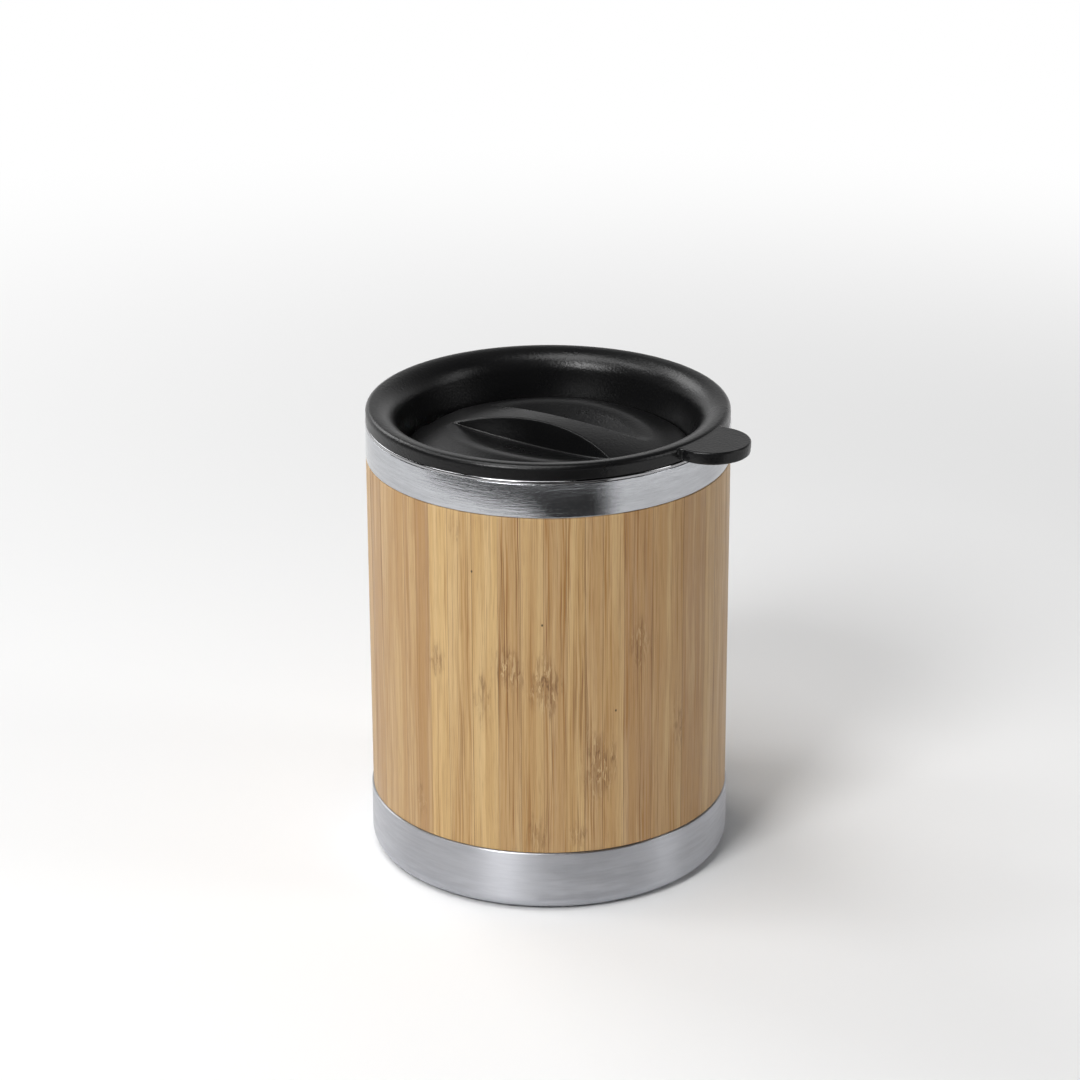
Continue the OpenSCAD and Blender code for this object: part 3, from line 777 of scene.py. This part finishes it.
def bamboo():
    """Laminated strips along the axis, each with its own tone, fibres and an odd knuckle."""
    f = Finish("bamboo")
    turn, _, height = f.around()
    arc_mm = f.math("MULTIPLY", turn, SLEEVE_R / MM)
    tone, amount, salt = strip_values(f, arc_mm)
    before = strip_values(f, f.math("SUBTRACT", arc_mm, SEAM_W))[2]
    seam = f.math("GREATER_THAN", f.math("ABSOLUTE", f.math("SUBTRACT", salt, before)), 0.001)
    offset = f.math("MULTIPLY", salt, 400.0)

    def strip_noise(arc, across, along, **settings):
        """Noise that differs from strip to strip, with its scales across and along the strips."""
        place = f.vector(f.math("MULTIPLY", arc, across), offset, f.math("MULTIPLY", height, along))
        return f.noise(place, **settings)

    bend = f.math("MULTIPLY", strip_noise(arc_mm, 0.06, 0.03), 1.2)
    bent = f.math("ADD", arc_mm, bend)

    def grain(across, along, detail, roughness):
        """Noise whose fibres bend a little, as the strips' own do."""
        return strip_noise(bent, across, along, detail=detail, roughness=roughness)

    bundles = grain(2.4, 0.03, 3, 0.6)
    broad = grain(0.6, 0.016, 3, 0.6)
    threads = grain(4.5, 0.03, 2, 0.6)
    hairs = grain(9.0, 0.15, 2, 0.6)
    clouds = grain(0.3, 0.012, 2, 0.5)
    clusters = f.range(grain(0.55, 0.01, 2, 0.5), 0.4, 0.58, 0.1, 1.0)
    tangle = strip_noise(arc_mm, 1.5, 0.24, detail=3, roughness=0.6, distortion=0.9)
    wobble = strip_noise(arc_mm, 0.8, 0.12, detail=4, roughness=0.65)
    ragged = f.math("MULTIPLY", f.math("SUBTRACT", wobble, 0.5), 2.6)

    knots = None
    for turn_deg, z, wide, tall, strength in KNUCKLES:
        across = f.math("DIVIDE", f.math("SUBTRACT", arc_mm, front_arc(turn_deg)), wide)
        along = f.math("DIVIDE", f.math("SUBTRACT", height, z), tall)
        size = f.distance(across, along)
        knot = f.range(f.math("ADD", size, ragged), 0.2, 1.3, strength, 0.0)
        knots = f.math("MAXIMUM", knots, knot) if knots else knot
    knuckle_z = f.range(f.math("FRACT", f.math("MULTIPLY", salt, 7.0)), 0.0, 1.0, -60.0, 170.0)
    away = f.math("ABSOLUTE", f.math("DIVIDE", f.math("SUBTRACT", height, knuckle_z), 5.0))
    front = f.math("COSINE", f.math("SUBTRACT", turn, wrapped(VIEW_AZIMUTH - pi / 2)))
    unseen = f.range(front, 0.0, 0.5, 0.8, 0.0)
    other = f.range(f.math("ADD", away, ragged), 0.2, 1.2, 1.0, 0.0)
    knots = f.math("MAXIMUM", knots, f.math("MULTIPLY", other, unseen))

    pores = None
    for turn_deg, z in PORES:
        across = f.math("SUBTRACT", arc_mm, front_arc(turn_deg))
        along = f.math("MULTIPLY", f.math("SUBTRACT", height, z), 0.7)
        size = f.distance(across, along)
        pore = f.range(size, 0.1, 0.3, 0.9, 0.0)
        pores = f.math("MAXIMUM", pores, pore) if pores else pore

    colour = f.blend(tone, GOLD, TAN)
    colour = f.blend(f.math("MULTIPLY", f.range(clouds, 0.4, 0.7), 0.4), colour, HONEY)
    colour = f.blend(f.math("MULTIPLY", f.range(broad, 0.5, 0.62), 0.4), colour, HONEY)
    colour = f.blend(f.math("MULTIPLY", f.range(broad, 0.5, 0.38), 0.3), colour, PALE)
    share = f.math("MULTIPLY", f.range(bundles, 0.5, 0.64), f.range(amount, 0.0, 1.0, 0.4, 1.0))
    share = f.math("MULTIPLY", share, clusters)
    colour = f.blend(share, colour, AMBER)
    colour = f.blend(f.math("MULTIPLY", f.range(bundles, 0.45, 0.3), 0.15), colour, PALE)
    share = f.math("MULTIPLY", f.range(threads, 0.52, 0.66), f.math("MULTIPLY", amount, clusters))
    colour = f.blend(share, colour, RUSSET)
    colour = f.blend(f.math("MULTIPLY", f.range(hairs, 0.5, 0.7), 0.3), colour, RUSSET)
    torn = f.math("MULTIPLY", knots, f.range(threads, 0.36, 0.56, 0.25, 1.0))
    colour = f.blend(f.math("MULTIPLY", torn, 0.62), colour, RUSSET)
    curls = f.math("MULTIPLY", knots, f.range(tangle, 0.52, 0.64))
    colour = f.blend(f.math("MULTIPLY", curls, 0.75), colour, UMBER)
    share = f.math("MULTIPLY", knots, f.range(tangle, 0.46, 0.4))
    colour = f.blend(f.math("MULTIPLY", share, 0.6), colour, PALE)
    colour = f.blend(f.math("MULTIPLY", seam, f.range(salt, 0.0, 1.0, 0.3, 0.8)), colour, UMBER)
    colour = f.blend(pores, colour, SOOT)
    f.set(Base_Color=colour)
    f.set(Roughness=f.range(bundles, 0.3, 0.7, 0.38, 0.48), IOR=1.45, Specular_IOR_Level=0.45)
    relief = f.math("SUBTRACT", f.math("MULTIPLY", threads, 0.5), f.math("ADD", seam, curls))
    f.set(Normal=f.bump(relief, 0.03 * MM, strength=0.5))
    return f.material


def silicone():
    """Cloudy white rubber with a fine matte skin."""
    f = Finish("silicone")
    cloud = f.noise(f.place, 300, detail=2)
    f.set(Base_Color=f.blend(cloud, (0.72, 0.72, 0.69), (0.8, 0.8, 0.77)), Roughness=0.5)
    f.set(Subsurface_Weight=0.1, Subsurface_Scale=2 * MM)
    f.set(Normal=f.bump(f.noise(f.place, 2500), 0.01 * MM, strength=0.4))
    return f.material


def dress(piece, material, body, slot, *nodes):
    """Gives a piece its finish and body and hides the nodes it stands for; the slot is not used."""
    piece.data.materials.clear()
    piece.data.materials.append(material)
    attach(piece, body)
    if nodes:
        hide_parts(*nodes)


def make_pieces():
    """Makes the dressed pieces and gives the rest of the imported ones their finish."""
    plastic = black_plastic()
    band = brushed_steel("band_steel", (0.56, 0.57, 0.595), 0.11, 0.25, 0.06 * MM, anisotropic=0.45)
    base = brushed_steel("base_steel", (0.54, 0.55, 0.585), 0.42, 0.1, 0.012 * MM)
    # The polished lip is a darker grey than the other steel: painted shade that dims its reflections below
    # the lid's flange
    lip = brushed_steel("lip_steel_painted_shade", (0.4, 0.4, 0.41), 0.07, 0.1, 0.01 * MM, anisotropic=0.2)
    inside = brushed_steel("inside_steel", (0.56, 0.56, 0.57), 0.3, 0.12, 0.01 * MM)
    rubber = silicone()
    dress(foot_cap(), base, "cup", "band_steel", "base_cap")
    dress(bamboo_tube(), bamboo(), "cup", "bamboo", "bamboo_sleeve")
    dress(mouth_band(), band, "cup", "band_steel", "outer_shell")
    cup = drinking_cup()
    dress(cup, lip, "cup", "liner_steel", "inner_liner")
    cup.data.materials.append(inside)
    for face in cup.data.polygons:
        face.material_index = int(face.center.xy.length < BAND_R - FLARE_R)
    dress(lid_moulding(), plastic, "lid", "black_plastic", "lid_rim")
    dress(seal_ring(), rubber, "lid", "silicone", "lid_gasket")
    dress(twist_grip(), plastic, "dial", "black_plastic", "twist_dial")
    for node, material in (("base_disc", base), ("dial_seal", rubber), ("dial_clip", plastic)):
        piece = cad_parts[node]
        piece.data.materials.clear()
        piece.data.materials.append(material)


# Grey of the surroundings by the sine of the rise
SKY = ((0.0, 0.6), (0.15, 0.6), (0.3, 0.38), (0.45, 0.24), (0.62, 0.1), (1.0, 0.06))
# Cosines of the turn from the camera's side at which they are brightest and darkest, and by how much
BACK_TO_FRONT = (-0.95, 0.3, 1.5, 0.07)
# Sines of the rise between which the white of the horizon fades, and its share at each
HORIZON = (0.015, 0.06, 1, 0)
# Lamps: turn from the camera's side and rise in degrees, width and height in metres, and watts
LAMP_DISTANCE = 1.1
LAMPS = {
    "key": (-33, 42, 0.34, 0.36, 6.6),
    "left": (-95, 54, 0.2, 0.3, 1.5),
    "rear": (-138, 36, 0.5, 0.5, 3.1),
    "top": (-50, 76, 0.6, 0.5, 5),
    "side": (78, 26, 0.25, 0.6, 1.6),
}
# Corners of the black card: turn from the camera's side in degrees, and distance in mm
CARD = (
    (-75, 480), (-48, 345), (-33, 290), (-18, 262), (-9, 225), (0, 150), (36, 150),
    (36, 1400), (-40, 1800), (-75, 1400),
)
CARD_LIFT = 2 * MM
# Radius of the floor in metres, its grey, and the distances from the cup, in metres, between which it
# turns to plain white for the camera
FLOOR_RADIUS = 12
PAPER = 0.86
WHITE_FROM, WHITE_TO = 0.2, 0.6


def studio_direction(turn_deg, rise_deg):
    """A direction in the studio: turn from the camera's side towards the picture's right, and rise."""
    turn, rise = VIEW_AZIMUTH - pi / 2 + radians(turn_deg), radians(rise_deg)
    return Vector((cos(turn) * cos(rise), sin(turn) * cos(rise), sin(rise)))


def make_camera():
    """The camera of the photo, whose frame is shifted so that the cup's axis falls where it does there."""
    data = bpy.data.cameras.new("camera")
    data.lens = LENS_MM
    data.sensor_width = SENSOR_MM
    data.shift_x = (FRAME_PIXELS / 2 - AXIS_PIXEL_X) / FRAME_PIXELS
    data.clip_start, data.clip_end = 0.01, 50
    camera = bpy.data.objects.new("camera", data)
    spot = studio_direction(0, 0) * CAMERA_DISTANCE + Vector((0, 0, CAMERA_H))
    look = Matrix.Rotation(VIEW_AZIMUTH, 4, "Z") @ Matrix.Rotation(pi / 2 - CAMERA_PITCH, 4, "X")
    camera.matrix_world = Matrix.Translation(spot) @ look @ Matrix.Rotation(CAMERA_ROLL, 4, "Z")
    bpy.context.scene.collection.objects.link(camera)
    bpy.context.scene.camera = camera


def softbox(name, turn_deg, rise_deg, width, height, power):
    """A rectangular lamp that faces the middle of the cup."""
    data = bpy.data.lights.new(name, "AREA")
    data.shape = "RECTANGLE"
    data.size, data.size_y = width, height
    data.energy = power
    lamp = bpy.data.objects.new(name, data)
    middle = Vector((0, 0, MOUTH_Z / 2))
    toward = studio_direction(turn_deg, rise_deg)
    lamp.location = middle + toward * LAMP_DISTANCE
    lamp.rotation_euler = toward.to_track_quat("Z", "Y").to_euler()
    bpy.context.scene.collection.objects.link(lamp)


def make_world():
    """Pale surroundings: white at the horizon, dimmer above, and darker behind the camera."""
    world = bpy.data.worlds.new("studio")
    bpy.context.scene.world = world
    world.use_nodes = True
    tree = world.node_tree
    backdrop = next(n for n in tree.nodes if n.type == "BACKGROUND")
    place = tree.nodes.new("ShaderNodeTexCoord")
    parts = tree.nodes.new("ShaderNodeSeparateXYZ")
    ramp = tree.nodes.new("ShaderNodeValToRGB")
    tree.links.new(place.outputs["Generated"], parts.inputs[0])
    tree.links.new(parts.outputs[2], ramp.inputs[0])
    while len(ramp.color_ramp.elements) < len(SKY):
        ramp.color_ramp.elements.new(0.5)
    for element, (position, grey) in zip(ramp.color_ramp.elements, SKY):
        element.position = position
        element.color = (grey, grey, grey, 1)
    front = tree.nodes.new("ShaderNodeVectorMath")
    front.operation = "DOT_PRODUCT"
    front.inputs[1].default_value = studio_direction(0, 0)
    tree.links.new(place.outputs["Generated"], front.inputs[0])
    dim = tree.nodes.new("ShaderNodeMapRange")
    dim.interpolation_type = "SMOOTHSTEP"
    for socket, number in zip(dim.inputs[1:], BACK_TO_FRONT):
        socket.default_value = number
    tree.links.new(front.outputs["Value"], dim.inputs[0])
    shade = tree.nodes.new("ShaderNodeMix")
    shade.data_type = "RGBA"
    shade.blend_type = "MULTIPLY"
    shade.inputs["Factor"].default_value = 1
    tree.links.new(ramp.outputs[0], shade.inputs["A"])
    tree.links.new(dim.outputs[0], shade.inputs["B"])
    horizon = tree.nodes.new("ShaderNodeMapRange")
    horizon.interpolation_type = "SMOOTHSTEP"
    for socket, number in zip(horizon.inputs[1:], HORIZON):
        socket.default_value = number
    tree.links.new(parts.outputs[2], horizon.inputs[0])
    paper = tree.nodes.new("ShaderNodeMix")
    paper.data_type = "RGBA"
    paper.inputs["B"].default_value = (1, 1, 1, 1)
    tree.links.new(horizon.outputs[0], paper.inputs["Factor"])
    tree.links.new(shade.outputs["Result"], paper.inputs["A"])
    tree.links.new(paper.outputs["Result"], backdrop.inputs["Color"])
    backdrop.inputs["Strength"].default_value = 1.0


def make_floor():
    """Matte pale floor that reaches far past the view."""
    shape = bmesh.new()
    bmesh.ops.create_circle(shape, cap_ends=True, segments=96, radius=FLOOR_RADIUS)
    floor = finish_mesh(shape, "floor")
    f = Finish("floor_paper")
    f.set(Base_Color=(PAPER, PAPER, PAPER, 1), Roughness=0.9, Specular_IOR_Level=0.1)
    away = f.node("ShaderNodeVectorMath", operation="LENGTH")
    f.feed(away.inputs[0], f.place)
    seen = f.node("ShaderNodeLightPath").outputs
    mirrored = f.math("MAXIMUM", seen["Is Glossy Ray"], seen["Is Transmission Ray"])
    direct = f.math("MAXIMUM", seen["Is Camera Ray"], mirrored)
    lit = f.node("ShaderNodeEmission")
    lit.inputs["Color"].default_value = (1, 1, 1, 1)
    join = f.node("ShaderNodeMixShader")
    far = f.range(away.outputs["Value"], WHITE_FROM, WHITE_TO)
    f.feed(join.inputs[0], f.math("MULTIPLY", direct, far))
    f.feed(join.inputs[1], f.surface.outputs[0])
    f.feed(join.inputs[2], lit.outputs[0])
    output = next(n for n in f.tree.nodes if n.type == "OUTPUT_MATERIAL")
    f.feed(output.inputs["Surface"], join.outputs[0])
    floor.data.materials.append(f.material)


def make_card():
    """Black card that only polished surfaces see, laid out of view in front of the cup."""
    shape = bmesh.new()
    lift = Vector((0, 0, CARD_LIFT))
    corners = [studio_direction(turn, 0) * r * MM + lift for turn, r in CARD]
    shape.faces.new([shape.verts.new(corner) for corner in corners])
    card = finish_mesh(shape, "flag")
    f = Finish("flag_card")
    f.set(Base_Color=(0.02, 0.02, 0.02, 1), Roughness=0.8)
    card.data.materials.append(f.material)
    card.visible_camera = False
    card.visible_diffuse = False
    card.visible_shadow = False


def make_studio():
    """Camera, surroundings, floor, card and lamps."""
    make_camera()
    make_world()
    make_floor()
    make_card()
    for name, settings in LAMPS.items():
        softbox(name, *settings)


make_studio()
make_pieces()
bpy.context.scene.view_settings.view_transform = "Standard"
